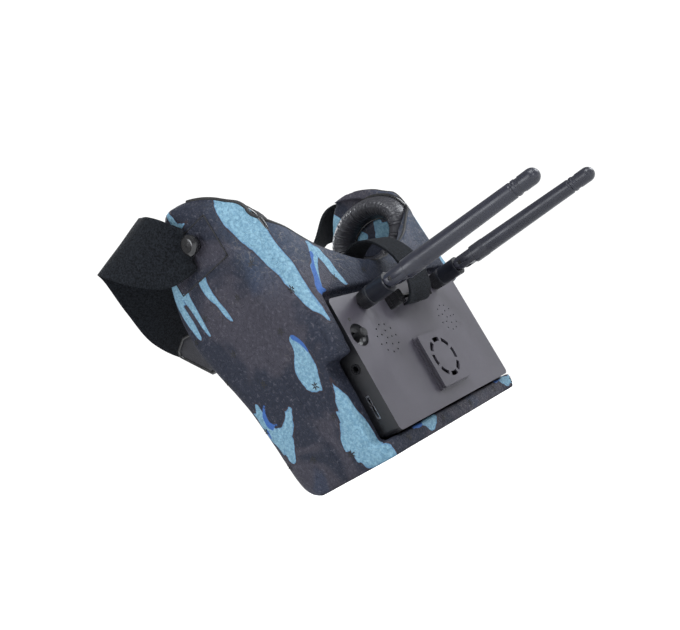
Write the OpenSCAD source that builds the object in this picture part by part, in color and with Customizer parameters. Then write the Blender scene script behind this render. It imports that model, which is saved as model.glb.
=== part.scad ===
// FPV goggles: a foam visor with folding-mirror optics and a display module with two antennas.
// The visor stands on its flat front end, +Z points back to the wearer's head, and -Y is up in use.
// Left is -X and right is +X, as seen when looking at the face of the display module.

/* [Display module] */
// Width of the display module
module_w = 140; // [136:1:142]
// Height of the display module
module_h = 81; // [80:1:82]
// Thickness of the display module
module_t = 18; // [18:1:19]
// Depth of the module's front cover
cover_t = 11; // [11:0.5:12]
// Corner radius of the module
module_r = 3; // [2:0.5:4]

/* [Visor] */
// Half width of the visor at its flat front end
base_half = 82; // [82:1:86]
// Outward lean of the side walls, in mm per mm of height
flare = 0.07; // [0.05:0.01:0.08]
// Thickness of the foam walls
wall = 11; // [10:0.5:12]
// Distance of the module face in front of the visor's centre plane
face_out = 39; // [39:0.5:40]
// Height of the module's lower edge above the floor
module_z = 10; // [10:0.5:11]
// Height of the brow rim in the middle
brow_z = 110; // [108:1:114]
// Height of the cheek rim
cheek_z = 93; // [93:1:95]

/* [Optics] */
// Length of the mirror along its slope
mirror_l = 70; // [62:1:71]
// Height of the lens above the floor
lens_z = 86; // [84:1:87]

/* [Antennas] */
// Distance of each antenna from the middle
antenna_x = 42.35; // [40:0.5:46]
// Height of the antenna axes above the module's lower edge
antenna_h = 74.4; // [73:0.5:75]
// Length of an antenna from the module face to its tip
antenna_l = 125.6; // [110:1:180]
// Distance of the folding pin from the module face
pin_out = 27.5; // [27:0.5:30]
// Radius of the antenna barrel
barrel_r = 6.1; // [5.8:0.1:6.4]

/* [Fan and stick] */
// Sideways place of the fan
fan_x = 1.8; // [-4:0.2:4]
// Height of the fan's axis above the module's lower edge
fan_h = 26.5; // [25:0.5:30]
// Width of the fan cover
fan_w = 34; // [33:0.5:36]
// Sideways place of the control stick
stick_x = -60; // [-60:0.5:-58]
// Height of the control stick above the module's lower edge
stick_h = 56.5; // [54:0.5:58]

/* [Straps and cushions] */
// Width of the elastic head strap
strap_w = 41; // [38:1:43]
// Thickness of the straps
strap_t = 2; // [1.6:0.1:2.2]
// Width of the top strap
top_strap_w = 25; // [20:1:25]
// Depth of an ear cushion
cushion_t = 15; // [12:1:16]

/* [Hidden] */
$fn = 64;
eps = 0.05;
big = 300;
face_y = -face_out;
module_top = module_z + module_h;
fan_z = module_z + fan_h;
stick_z = module_z + stick_h;
antenna_z = module_z + antenna_h;
lean = atan(flare);
foam = [0.24, 0.23, 0.26];
black = [0.12, 0.12, 0.13];
shell_grey = [0.36, 0.34, 0.38];
metal = [0.75, 0.75, 0.78];

// Half width of the visor at height z
function half_w(z) = base_half + flare * z;

// Brow rim: a hyperbola, flat over the forehead and rising towards the temples
rim_rise = 26;
rim_span = 40;
function rim_z(x) = brow_z + rim_rise * (sqrt(1 + pow(x / rim_span, 2)) - 1);

// A smooth curve through the given points, with n steps between neighbours
function knot(p, i) = p[min(max(i, 0), len(p) - 1)];
function blend4(a, b, c, d, t) =
    0.5 * (2 * b + (c - a) * t + (2 * a - 5 * b + 4 * c - d) * t * t
           + (3 * b - a - 3 * c + d) * t * t * t);
function smooth(p, n) = concat(
    [for (i = [0:len(p) - 2], k = [0:n - 1])
        blend4(knot(p, i - 1), p[i], p[i + 1], knot(p, i + 2), k / n)],
    [p[len(p) - 1]]);

// Side outline of the visor, as [y, z] points: the module side, over the wing tip, and the back
side_points = [[-34, 0], [-35, 8], [-37, 50], [-38.6, 92], [-37.5, 125], [-33, 153], [-24, 169],
               [-10, 180], [6, 186.5], [18, 186.5], [29, 179], [38.5, 166], [47.5, 151],
               [53.5, 136], [55.5, 121], [55, 106], [51.5, 92], [46.5, 75], [43, 60],
               [41.5, 42], [40, 20], [38, 9], [34.5, 3], [28, 0]];

// Places of the strap button and of the strap anchor on a wing
button_y = 5.5;
button_z = 157.5;
insert_y = 12.5;
insert_z = 153.5;
insert_w = 45;
insert_h = 27;

// Gathered end, arch and droop of the left half of the head strap: [centre, direction of width]
strap_path = [
    [[-95.4, 9.8, 156.5], [-1.5, -6, 22]],
    [[-97.5, 15, 157.5], [0.8, -14, 26]],
    [[-104, 22, 161.5], [1, -22, 32]],
    [[-110.5, 30.5, 170], [11, -27, 28.5]],
    [[-112, 39, 178], [17.5, -31.5, 19.5]],
    [[-107.6, 48, 183.5], [19.5, -32, 16]],
    [[-99, 54.5, 179.5], [21.5, -31.5, 15]],
    [[-86, 64.5, 162], [22.5, -30.5, 16]],
    [[-68, 77, 144], [22, -28, 20]],
    [[-40, 86, 133], [12, -31, 24]],
    [[0, 90, 129], [0, -32, 25.6]]];
// Route of the top strap in its own plane, as [y, z] points
top_strap_path = [[-15.8, 104], [-16.8, 114], [-23.5, 120.5], [-35, 123], [-46, 118], [-54, 105],
                  [-56, 92], [-54, 81], [-49, 74.6], [-44.5, 74.3]];

// Moves a child drawn around the local z axis onto an axis that points out of the module face
module on_face(x, z) {
    translate([x, face_y, z])
        rotate([90, 0, 0])
            children();
}

// A block with x from the middle, y from y0 to y1 and z from z0 to z1
module block(w, y0, y1, z0, z1, x = 0) {
    translate([x - w / 2, y0, z0])
        cube([w, y1 - y0, z1 - z0]);
}

// A plate with round corners that lies parallel to the module face
module face_plate(w, z0, z1, y0, y1, r, x = 0) {
    translate([x, y1, (z0 + z1) / 2])
        rotate([90, 0, 0])
            linear_extrude(y1 - y0)
                rounded_rect(w, z1 - z0, r);
}

module rounded_rect(w, h, r) {
    union() {
        square([w - 2 * r, h], center = true);
        square([w, h - 2 * r], center = true);
        for (sx = [-1, 1], sz = [-1, 1])
            translate([sx * (w / 2 - r), sz * (h / 2 - r)])
                circle(r);
    }
}

// Places a child, drawn on the plane z = 0 with x as y and y as z, on the outer side wall at [y, z].
// The local z axis points out of the wall, depth below its surface.
module on_side(side, y, z, depth = 0) {
    mirror([side > 0 ? 0 : 1, 0, 0])
        translate([half_w(z), y, z])
            rotate([0, lean, 0])
                rotate([90, 0, 90])
                    translate([0, 0, -depth])
                        children();
}

// Foam visor
module side_solid() {
    rotate([90, 0, 90])
        translate([0, 0, -big / 2])
            linear_extrude(big)
                polygon(smooth(side_points, 5));
}

module width_solid(inset) {
    top = 200;
    translate([0, big / 2, 0])
        rotate([90, 0, 0])
            linear_extrude(big)
                polygon([[-half_w(0) + inset, -1], [half_w(0) - inset, -1],
                         [half_w(top) - inset, top], [-half_w(top) + inset, top]]);
}

module brow_cut() {
    span = 90;
    curve = [for (x = [-span:5:span]) [x, rim_z(x)]];
    intersection() {
        translate([0, face_y + wall + 1, 0])
            rotate([90, 0, 0])
                linear_extrude(big / 2)
                    polygon(concat([[-span, 220]], curve, [[span, 220]]));
        width_solid(wall);
    }
}

// Cavity under the lens, as a prism: the mirror slope rises from the module to the back wall
lens_y1 = 40.4;
mirror_y0 = -18;
mirror_z0 = 13;
mirror_back = 5.5;
mirror_run = mirror_l / sqrt(2);
module optic_chamber() {
    w = 134;
    low = mirror_back * sqrt(2);
    y1 = mirror_y0 + mirror_run + 4;
    z0 = mirror_z0 - 4;
    y0 = mirror_y0 + z0 - mirror_z0 + low;
    translate([-w / 2, 0, 0])
        rotate([90, 0, 90])
            linear_extrude(w)
                polygon([[face_y + module_t, z0], [y0, z0],
                         [y1, y1 - mirror_y0 + mirror_z0 - low],
                         [y1, lens_z + 1], [face_y + module_t, lens_z + 1]]);
}

module foam_shell() {
    gap = 0.3;
    notch_t = 12.5;
    notch_h = 49;
    far_notch_h = 74;
    finger_gap = 4.6;
    finger_depth = 6.5;
    nose_r = 20;
    lens_w = 139;
    seat_t = cushion_t + 4;
    seat_gap = 1.3;
    color(foam)
        difference() {
            intersection() {
                side_solid();
                width_solid(0);
                linear_extrude(210)
                    translate([0, 11])
                        rounded_rect(2 * half_w(190), 99.8, 14);
            }
            brow_cut();
            // Pocket for the display module, with a finger gap above it
            block(module_w + 2 * gap, -60, face_y + module_t + gap, module_z - gap,
                  module_top + gap);
            block(module_w + 2 * gap, -60, face_y + finger_depth, module_top,
                  module_top + finger_gap);
            // Side notches, a low one that bares the sockets and a high one on the other side
            block(40, -60, face_y + notch_t, module_z - gap, module_z + notch_h,
                  x = -module_w / 2 - 20 + eps);
            block(40, -60, face_y + notch_t, module_z - gap, module_z + far_notch_h,
                  x = module_w / 2 + 20 - eps);
            optic_chamber();
            // Seat of the lens and its frame
            block(lens_w, face_y + module_t, lens_y1 + 0.6, lens_z, cheek_z + 10);
            // Space for the face, between the wings
            intersection() {
                block(big, face_y + wall, 120, cheek_z, 220);
                width_solid(wall);
            }
            // Seats of the ear cushions
            for (side = [-1, 1])
                mirror([side > 0 ? 0 : 1, 0, 0])
                    translate([half_w(cushion_z) - wall * cos(lean), cushion_y, cushion_z])
                        rotate([0, lean, 0])
                            rotate([90, 0, 90])
                                translate([0, 0, -seat_t])
                                    linear_extrude(seat_t)
                                        oval(cushion_w + 2 * seat_gap, cushion_h + 2 * seat_gap);
            // Nose notch
            translate([0, 100, cheek_z + 7])
                rotate([90, 0, 0])
                    cylinder(r = nose_r, h = 60);
            for (side = [-1, 1]) {
                on_side(side, insert_y, insert_z, 2.2)
                    linear_extrude(20)
                        rounded_rect(insert_w + 2 * gap, insert_h + 2 * gap, 3 + gap);
                on_side(side, button_y, button_z, 8)
                    cylinder(r = 4.2, h = 10);
            }
        }
}

// Edging strip on the brow rim
module rim_trim() {
    span = 60;
    strip = 1.6;
    y0 = face_y + wall - 7;
    over = 0.3;
    color(black)
        translate([0, y0 + 5, 0])
            rotate([90, 0, 0])
                linear_extrude(5)
                    polygon(concat([for (x = [-span:4:span]) [x, rim_z(x) + over]],
                                   [for (x = [span:-4:-span]) [x, rim_z(x) + over + strip]]));
}

// Padding inside the brow
module brow_pad() {
    span = 56;
    depth = 9;
    low = 15;
    y0 = face_y + wall + 1.4;
    color(black)
        translate([0, y0 + depth, 0])
            rotate([90, 0, 0])
                linear_extrude(depth)
                    polygon(concat([for (x = [-span:4:span]) [x, rim_z(x) - 2]],
                                   [for (x = [span:-4:-span])
                                       [x, max(rim_z(x) - 2 - low, cheek_z + 0.5)]]));
}

// Padding on the cheek rim, one each side of the nose
module cheek_pad(side) {
    w = 46;
    thick = 13;
    color(black)
        translate([side * 48, lens_y1 + 1, cheek_z + 0.3 + thick / 2])
            rotate([-90, 0, 0])
                linear_extrude(9.5)
                    rounded_rect(w, thick, 5);
}

// Light-blocking flap inside the back edge of a wing
module side_flap(side) {
    thick = 3.6;
    x = side > 0 ? 77.6 - thick : -77.6;
    color(black)
        translate([x, 0, 0])
            rotate([90, 0, 90])
                linear_extrude(thick)
                    polygon([[46, 112], [50, 96], [59, 96.5], [77.6, 118], [76.6, 121.5],
                             [68, 126], [52, 123]]);
}

// Oval ear cushion and its base ring, on the inner face of a wing
cushion_y = 3;
cushion_z = 143;
cushion_w = 70;
cushion_h = 56;
cushion_r = 14.5;
module oval(w, h) {
    polygon([for (a = [0:6:354]) [w / 2 * cos(a), h / 2 * sin(a)]]);
}

module ear_ring(side, start, thick, grow) {
    mirror([side > 0 ? 0 : 1, 0, 0])
        translate([half_w(cushion_z) - wall * cos(lean) - 0.3, cushion_y, cushion_z])
            rotate([0, lean, 0])
                rotate([90, 0, 90])
                    translate([0, 0, -start - thick])
                        linear_extrude(thick)
                            difference() {
                                oval(cushion_w + grow, cushion_h + grow);
                                oval(cushion_w - 2 * cushion_r - grow,
                                     cushion_h - 2 * cushion_r - grow);
                            }
}

module ear_cushion(side) {
    color(black)
        ear_ring(side, 2.2, cushion_t, 0);
}

module cushion_base(side) {
    color([0.08, 0.08, 0.09])
        ear_ring(side, 0.2, 1.8, 1.6);
}

// Mirror and its backing on the slope under the lens
module slope_plate(w, lift, thick) {
    translate([0, mirror_y0, mirror_z0])
        rotate([45, 0, 0])
            translate([-w / 2, 0.5, -lift - thick])
                cube([w, mirror_l - 1, thick]);
}

module mirror_glass() {
    color([0.8, 0.85, 0.9])
        slope_plate(131, 0, 2);
}

module mirror_backing() {
    color([0.15, 0.15, 0.15])
        slope_plate(131, 2, 3);
}

module fresnel_lens() {
    color([0.85, 0.9, 0.95, 0.5])
        block(138, face_y + module_t + 0.6, lens_y1, lens_z + 0.1, lens_z + 2.1);
}

module lens_frame() {
    border = 7;
    y0 = face_y + module_t + 0.6;
    color(black)
        difference() {
            block(138, y0, lens_y1, lens_z + 2.2, lens_z + 4.2);
            block(138 - 2 * border, y0 + border - 2, lens_y1 - border, lens_z, lens_z + 6);
        }
}

// Strap anchor on the outside of a wing
module wing_insert(side) {
    color([0.16, 0.16, 0.18])
        on_side(side, insert_y, insert_z, 2)
            difference() {
                linear_extrude(2.2)
                    rounded_rect(insert_w, insert_h, 3);
                translate([button_y - insert_y, button_z - insert_z, -1])
                    cylinder(r = 3.6, h = 6);
            }
}

module strap_button(side) {
    color(black)
        on_side(side, button_y, button_z, 7.6)
            rotate_extrude()
                polygon([[0, 0], [3.5, 0], [3.5, 11.6], [6, 11.6], [6.4, 12.6], [6, 14.4],
                         [4.4, 15.6], [0, 16]]);
}

// Elastic head strap: a flat band swept along its path, mirrored onto the right half
function unit(v) = v / norm(v);
function mirror_x(v) = [-v[0], v[1], v[2]];
function strap_full() = concat(strap_path,
    [for (i = [len(strap_path) - 2:-1:0]) [mirror_x(strap_path[i][0]), mirror_x(strap_path[i][1])]]);

module ribbon(path, thick, steps) {
    centre = smooth([for (p = path) p[0]], steps);
    across = smooth([for (p = path) p[1]], steps);
    last = len(centre) - 1;
    rings = [for (i = [0:last])
        let (along = centre[min(i + 1, last)] - centre[max(i - 1, 0)],
             up = unit(cross(along, across[i])) * thick / 2,
             half = across[i] / 2)
        [centre[i] - half - up, centre[i] + half - up, centre[i] + half + up, centre[i] - half + up]];
    points = [for (r = rings, p = r) p];
    faces = concat(
        [[3, 2, 1, 0]],
        [for (i = [0:last - 1], k = [0:3])
            [4 * i + k, 4 * i + (k + 1) % 4, 4 * i + 4 + (k + 1) % 4]],
        [for (i = [0:last - 1], k = [0:3])
            [4 * i + k, 4 * i + 4 + (k + 1) % 4, 4 * i + 4 + k]],
        [[4 * last, 4 * last + 1, 4 * last + 2, 4 * last + 3]]);
    polyhedron(points, faces);
}

module head_strap() {
    color(black)
        ribbon(strap_full(), strap_t, 4);
}

// Top strap: a band bent in one plane, looped round the bar on the module
module top_strap() {
    line = smooth(top_strap_path, 4);
    last = len(line) - 1;
    normal = [for (i = [0:last])
        let (d = unit(line[min(i + 1, last)] - line[max(i - 1, 0)])) [-d[1], d[0]]];
    half = 0.9;
    color(black)
        translate([-top_strap_w / 2, 0, 0])
            rotate([90, 0, 90])
                linear_extrude(top_strap_w)
                    polygon(concat([for (i = [0:last]) line[i] + half * normal[i]],
                                   [for (i = [last:-1:0]) line[i] - half * normal[i]]));
}

// Bar that holds the top strap
module strap_bar() {
    z = module_z + 69.3;
    color(black) {
        for (side = [-1, 1])
            face_plate(6, z - 4.5, z + 4.5, face_y - 9, face_y, 1.5, x = side * 16);
        translate([-14, face_y - 5.5, z])
            rotate([0, 90, 0])
                cylinder(r = 1.8, h = 28);
    }
}

// Display module
boss_x = 65;
boss_z = 5;
module module_corners(y) {
    for (sx = [-1, 1], z = [module_z + boss_z, module_top - boss_z])
        translate([sx * boss_x, y, z])
            rotate([90, 0, 0])
                children();
}

speaker_x = 36.8;
speaker_h = 49.7;
module speaker_holes() {
    rings = [[0, 1], [4.6, 5], [9, 11]];
    for (r = rings, k = [0:r[1] - 1])
        rotate([0, 0, 360 * k / r[1]])
            translate([r[0], 0, -3])
                cylinder(r = 0.55, h = 6, $fn = 16);
}

jack_y = face_y + 6.4;
jack_z = module_z + 40.2;
card_y = face_y + 8.9;
card_z0 = module_z + 11;
card_z1 = module_z + 25;
module front_cover() {
    skin = 1.8;
    fan_hole = 30.8;
    y1 = face_y + cover_t;
    color(shell_grey)
        difference() {
            union() {
                difference() {
                    face_plate(module_w, module_z, module_top, face_y, y1, module_r);
                    face_plate(module_w - 2 * skin, module_z + skin, module_top - skin,
                               face_y + skin, y1 + 5, module_r - 1);
                }
                module_corners(y1 - 1)
                    cylinder(r = 2.6, h = cover_t - 2);
                on_face(stick_x, stick_z)
                    translate([0, 0, -4.6])
                        cylinder(r = 7.9, h = 4);
            }
            module_corners(y1 + 1)
                cylinder(r = 0.95, h = cover_t - 2);
            block(fan_hole, -60, -25, fan_z - fan_hole / 2, fan_z + fan_hole / 2, x = fan_x);
            // Dish round the control stick
            on_face(stick_x, stick_z)
                rotate_extrude()
                    polygon([[0, -6], [3.4, -6], [3.4, -3.6], [5.6, -3], [6.7, -1.4], [7.1, 1],
                             [0, 1]]);
            on_face(stick_x - 1.3, module_z + 66.5)
                translate([0, 0, -3])
                    cylinder(r = 1.1, h = 6);
            for (side = [-1, 1]) {
                on_face(side * antenna_x, antenna_z)
                    translate([0, 0, -3])
                        cylinder(r = 3.3, h = 6);
                on_face(side * speaker_x, module_z + speaker_h)
                    speaker_holes();
            }
            translate([-module_w / 2 - 1, jack_y, jack_z])
                rotate([0, 90, 0])
                    cylinder(r = 3.15, h = 4);
            block(8, card_y - 1.25, card_y + 1.25, card_z0 - 0.2, card_z1 + 0.2,
                  x = -module_w / 2);
        }
}

module rear_frame() {
    y0 = face_y + cover_t + 0.1;
    y1 = face_y + module_t;
    color(black)
        difference() {
            face_plate(module_w - 1, module_z + 0.5, module_top - 0.5, y0, y1, module_r);
            block(119, y0 - 1, y1 + 1, module_z + 3, module_top - 3);
            module_corners(y1 + 1)
                cylinder(r = 1.2, h = 20);
            module_corners(y1 + 1)
                cylinder(r = 2.5, h = 3);
        }
}

module lcd_panel() {
    color([0.05, 0.06, 0.1])
        block(118, face_y + module_t - 4, face_y + module_t - 0.4, module_z + 3.5,
              module_top - 3.5);
}

board_y = face_y + module_t - 6;
module main_board() {
    color([0.05, 0.3, 0.15])
        block(116, board_y, board_y + 1.4, module_z + 5, module_top - 5);
}

module battery_cell() {
    color([0.7, 0.7, 0.72])
        face_plate(36, module_z + 6, module_z + 38, board_y - 5.6, board_y - 0.1, 2, x = 40);
}

module receiver_can(side) {
    color(metal)
        face_plate(24, module_z + 62, module_z + 75, board_y - 3.6, board_y - 0.1, 1, x = side * 42);
}

module speaker(side) {
    color([0.1, 0.1, 0.1])
        on_face(side * speaker_x, module_z + speaker_h)
            translate([0, 0, -5.8])
                union() {
                    cylinder(r = 10.5, h = 3.8);
                    translate([0, 0, -1.6])
                        cylinder(r = 7, h = 1.7);
                }
}

// Cooling fan
fan_top = 4.2;
module fan_cover() {
    step = 1.2;
    hollow = 30.4;
    slot_r = 11.6;
    slot_w = 2.8;
    slot_arc = 33;
    color(shell_grey)
        difference() {
            union() {
                face_plate(fan_w + step, fan_z - (fan_w + step) / 2, fan_z + (fan_w + step) / 2,
                           face_y - 1.4, face_y, 1.5, x = fan_x);
                face_plate(fan_w - 1.2, fan_z - fan_w / 2 + 0.6, fan_z + fan_w / 2 - 0.6,
                           face_y - fan_top, face_y, 1, x = fan_x);
                face_plate(fan_w, fan_z - fan_w / 2, fan_z + fan_w / 2,
                           face_y - fan_top, face_y - 2.6, 1.5, x = fan_x);
            }
            block(hollow, face_y - fan_top + 1.2, face_y + 5, fan_z - hollow / 2,
                  fan_z + hollow / 2, x = fan_x);
            on_face(fan_x, fan_z)
                for (k = [0:7])
                    rotate([0, 0, 45 * k + 90 - slot_arc / 2])
                        translate([0, 0, fan_top - 3])
                            rotate_extrude(angle = slot_arc)
                                translate([slot_r - slot_w / 2, 0])
                                    square([slot_w, 5]);
        }
}

fan_in = 5;
rotor_r = 13;
module fan_frame() {
    size = 29.8;
    depth = fan_top - 1.5 + fan_in;
    color(black)
        on_face(fan_x, fan_z)
            translate([0, 0, -fan_in])
                union() {
                    difference() {
                        linear_extrude(depth)
                            rounded_rect(size, size, 2);
                        translate([0, 0, -1])
                            cylinder(r = rotor_r + 0.8, h = depth + 2);
                    }
                    for (a = [45:90:315])
                        rotate([0, 0, a])
                            translate([5, -1, 0])
                                cube([rotor_r - 3, 2, 1]);
                    cylinder(r = 6.5, h = 1);
                    cylinder(r = 1.4, h = 5.5);
                }
}

module fan_rotor() {
    blades = 7;
    color([0.1, 0.1, 0.11])
        on_face(fan_x, fan_z)
            translate([0, 0, -fan_in + 1.4])
                difference() {
                    union() {
                        cylinder(r = 7, h = 5);
                        for (k = [0:blades - 1])
                            rotate([0, 0, 360 * k / blades])
                                translate([6.5, 0, 2.5])
                                    rotate([35, 0, 0])
                                        translate([0, -0.5, -2.2])
                                            cube([rotor_r - 6.8, 1, 4.4]);
                    }
                    translate([0, 0, -1])
                        cylinder(r = 1.5, h = 5.4);
                }
}

// Control stick: switch body, two tilting pieces and a cap that presses in
pivot_in = 6.4;
module stick_base() {
    size = 9;
    color(black)
        on_face(stick_x, stick_z)
            difference() {
                translate([-size / 2, -size / 2, -pivot_in - 2.2])
                    cube([size, size, 3.9]);
                translate([0, 0, -pivot_in - 1.4])
                    cylinder(r = 3, h = 6);
                translate([0, 0, -pivot_in])
                    rotate([0, 90, 0])
                        cylinder(r = 0.55, h = 8.4, center = true);
            }
}

module stick_gimbal() {
    color(metal)
        on_face(stick_x, stick_z)
            translate([0, 0, -pivot_in])
                difference() {
                    union() {
                        cylinder(r = 2.5, h = 1.2, center = true);
                        rotate([0, 90, 0])
                            cylinder(r = 0.45, h = 7.8, center = true);
                    }
                    cylinder(r = 1.5, h = 4, center = true);
                    rotate([90, 0, 0])
                        cylinder(r = 0.4, h = 6, center = true);
                }
}

module stick_stem() {
    color(metal)
        on_face(stick_x, stick_z)
            translate([0, 0, -pivot_in])
                union() {
                    translate([0, 0, -0.9])
                        cylinder(r = 1.2, h = 5.2);
                    rotate([90, 0, 0])
                        cylinder(r = 0.3, h = 4.4, center = true);
                }
}

module stick_cap() {
    color(black)
        on_face(stick_x, stick_z)
            difference() {
                rotate_extrude()
                    polygon([[0, -4.2], [2, -4.2], [2, 1.6], [2.7, 2.2], [2.7, 3.7], [2.2, 4.2],
                             [0, 4.4]]);
                translate([0, 0, -5])
                    cylinder(r = 1.25, h = 3.5);
            }
}

// Sockets on the side of the module
module audio_jack() {
    reach = 11;
    color(black)
        difference() {
            union() {
                block(reach, jack_y - 3.2, jack_y + 3.2, jack_z - 3.4, jack_z + 3.4,
                      x = -module_w / 2 + 2 + reach / 2);
                translate([-module_w / 2 - 0.4, jack_y, jack_z])
                    rotate([0, 90, 0])
                        cylinder(r = 3, h = 4);
            }
            translate([-module_w / 2 - 1, jack_y, jack_z])
                rotate([0, 90, 0])
                    cylinder(r = 1.8, h = 12);
        }
}

module card_slot() {
    color(metal)
        difference() {
            block(13, card_y - 1.15, card_y + 1.15, card_z0, card_z1, x = -module_w / 2 + 6.7);
            block(13, card_y - 0.6, card_y + 0.6, card_z0 + 1, card_z1 - 1, x = -module_w / 2 + 5.5);
        }
}

module indicator_light() {
    color([0.85, 0.85, 0.8])
        on_face(stick_x - 1.3, module_z + 66.5)
            translate([0, 0, -2.4])
                cylinder(r = 1, h = 2.6);
}

module module_screws() {
    color(metal)
        module_corners(face_y + module_t - 0.4)
            union() {
                cylinder(r = 2.2, h = 1.4);
                cylinder(r = 0.9, h = 11);
            }
}

// Antennas. Each is drawn around its own axis, which points out of the module face.
module antenna_place(side) {
    on_face(side * antenna_x, antenna_z)
        children();
}

nut_end = 7.8;
module antenna_socket(side) {
    color([0.8, 0.68, 0.35])
        antenna_place(side)
            union() {
                translate([0, 0, -4.5])
                    cylinder(r = 3.15, h = 11);
                cylinder(r = 4.4, h = 1.2, $fn = 6);
                translate([0, 0, -3.8])
                    cylinder(r = 4.4, h = 1.9, $fn = 6);
            }
}

module antenna_nut(side) {
    ribs = 24;
    color(black)
        antenna_place(side)
            difference() {
                translate([0, 0, 1.4])
                    cylinder(r1 = 5.5, r2 = 5.9, h = nut_end - 1.4);
                translate([0, 0, 1])
                    cylinder(r = 3.2, h = 10);
                for (k = [0:ribs - 1])
                    rotate([0, 0, 360 * k / ribs])
                        translate([5.5, -0.3, 2.4])
                            cube([2, 0.6, nut_end - 4]);
            }
}

shoulder = 23;
tongue_w = 4.6;
fork_r = 4.2;
module antenna_barrel(side) {
    groove = 0.4;
    color(black)
        antenna_place(side)
            difference() {
                union() {
                    translate([0, 0, nut_end + 0.15])
                        rotate_extrude()
                            polygon([[0, 0], [barrel_r, 0], [barrel_r, 1], [barrel_r - groove, 1.2],
                                     [barrel_r - groove, 1.8], [barrel_r - 0.1, 2],
                                     [barrel_r - 0.1, shoulder - nut_end - 1.8],
                                     [barrel_r, shoulder - nut_end - 1.6],
                                     [barrel_r, shoulder - nut_end - 0.15],
                                     [0, shoulder - nut_end - 0.15]]);
                    translate([-tongue_w / 2, -3.6, shoulder - 1])
                        cube([tongue_w, 7.2, pin_out - shoulder + 1]);
                    translate([-tongue_w / 2, 0, pin_out])
                        rotate([0, 90, 0])
                            cylinder(r = 3.6, h = tongue_w);
                }
                translate([-10, 0, pin_out])
                    rotate([0, 90, 0])
                        cylinder(r = 1.32, h = 20);
            }
}

module antenna_pin(side) {
    color(metal)
        antenna_place(side)
            translate([-5.3, 0, pin_out])
                rotate([0, 90, 0])
                    cylinder(r = 1.3, h = 10.6);
}

fork_end = pin_out + 9;
sleeve_end = 45.5;
whip_end = antenna_l - 10.2;
module antenna_whip(side) {
    color([0.2, 0.2, 0.22])
        antenna_place(side)
            difference() {
                union() {
                    intersection() {
                        cylinder(r = 5.9, h = fork_end + 1);
                        union() {
                            translate([-7, -fork_r, pin_out])
                                cube([14, 2 * fork_r, fork_end - pin_out + 2]);
                            translate([-7, 0, pin_out])
                                rotate([0, 90, 0])
                                    cylinder(r = fork_r, h = 14);
                        }
                    }
                    translate([0, 0, fork_end])
                        rotate_extrude()
                            polygon([[0, 0], [5.7, 0], [5.7, sleeve_end - fork_end],
                                     [5.5, sleeve_end - fork_end + 0.4],
                                     [4.5, whip_end - fork_end - 5.6],
                                     [4.1, whip_end - fork_end - 5.2],
                                     [4.1, whip_end - fork_end - 4.4],
                                     [4.5, whip_end - fork_end - 4],
                                     [4.5, whip_end - fork_end - 2.6],
                                     [4.1, whip_end - fork_end - 2.2],
                                     [4.1, whip_end - fork_end], [0, whip_end - fork_end]]);
                }
                translate([-tongue_w / 2 - 0.3, -10, shoulder - 2])
                    cube([tongue_w + 0.6, 20, pin_out - shoulder + 2 + 4.2]);
                translate([-10, 0, pin_out])
                    rotate([0, 90, 0])
                        cylinder(r = 1.32, h = 20);
            }
}

module antenna_cap(side) {
    r = 4.4;
    color([0.17, 0.17, 0.19])
        antenna_place(side)
            translate([0, 0, whip_end + 0.05])
                rotate_extrude()
                    polygon(concat([[0, 0], [r, 0]],
                                   [for (a = [0:10:90])
                                       [r * cos(a), antenna_l - whip_end - 0.05 - r + r * sin(a)]]));
}

foam_shell();
rim_trim();
brow_pad();
cheek_pad(-1);  // cheek_pad_left
cheek_pad(1);  // cheek_pad_right
side_flap(-1);  // side_flap_left
side_flap(1);  // side_flap_right
ear_cushion(-1);  // ear_cushion_left
ear_cushion(1);  // ear_cushion_right
cushion_base(-1);  // cushion_base_left
cushion_base(1);  // cushion_base_right
mirror_glass();
mirror_backing();
fresnel_lens();
lens_frame();
wing_insert(-1);  // wing_insert_left
wing_insert(1);  // wing_insert_right
strap_button(-1);  // strap_button_left
strap_button(1);  // strap_button_right
head_strap();
top_strap();
strap_bar();
front_cover();
rear_frame();
lcd_panel();
main_board();
battery_cell();
receiver_can(-1);  // receiver_can_left
receiver_can(1);  // receiver_can_right
speaker(-1);  // speaker_left
speaker(1);  // speaker_right
fan_cover();
fan_frame();
fan_rotor();
stick_base();
stick_gimbal();
stick_stem();
stick_cap();
audio_jack();
card_slot();
indicator_light();
module_screws();
antenna_socket(-1);  // antenna_socket_left
antenna_socket(1);  // antenna_socket_right
antenna_nut(-1);  // antenna_nut_left
antenna_nut(1);  // antenna_nut_right
antenna_barrel(-1);  // antenna_barrel_left
antenna_barrel(1);  // antenna_barrel_right
antenna_pin(-1);  // antenna_pin_left
antenna_pin(1);  // antenna_pin_right
antenna_whip(-1);  // antenna_whip_left
antenna_whip(1);  // antenna_whip_right
antenna_cap(-1);  // antenna_cap_left
antenna_cap(1);  // antenna_cap_right
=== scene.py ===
"""Looks of the FPV goggles: soft goods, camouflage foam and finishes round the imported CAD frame.

The frame's +Z points to the back of the wearer's head and -Y out of the display module's face.
Lengths are written in millimetres and turned into metres where the meshes are made.
"""

import math
import random

import bmesh
import bpy
import numpy as np
from mathutils import Matrix, Vector, noise
from mathutils.bvhtree import BVHTree


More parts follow.
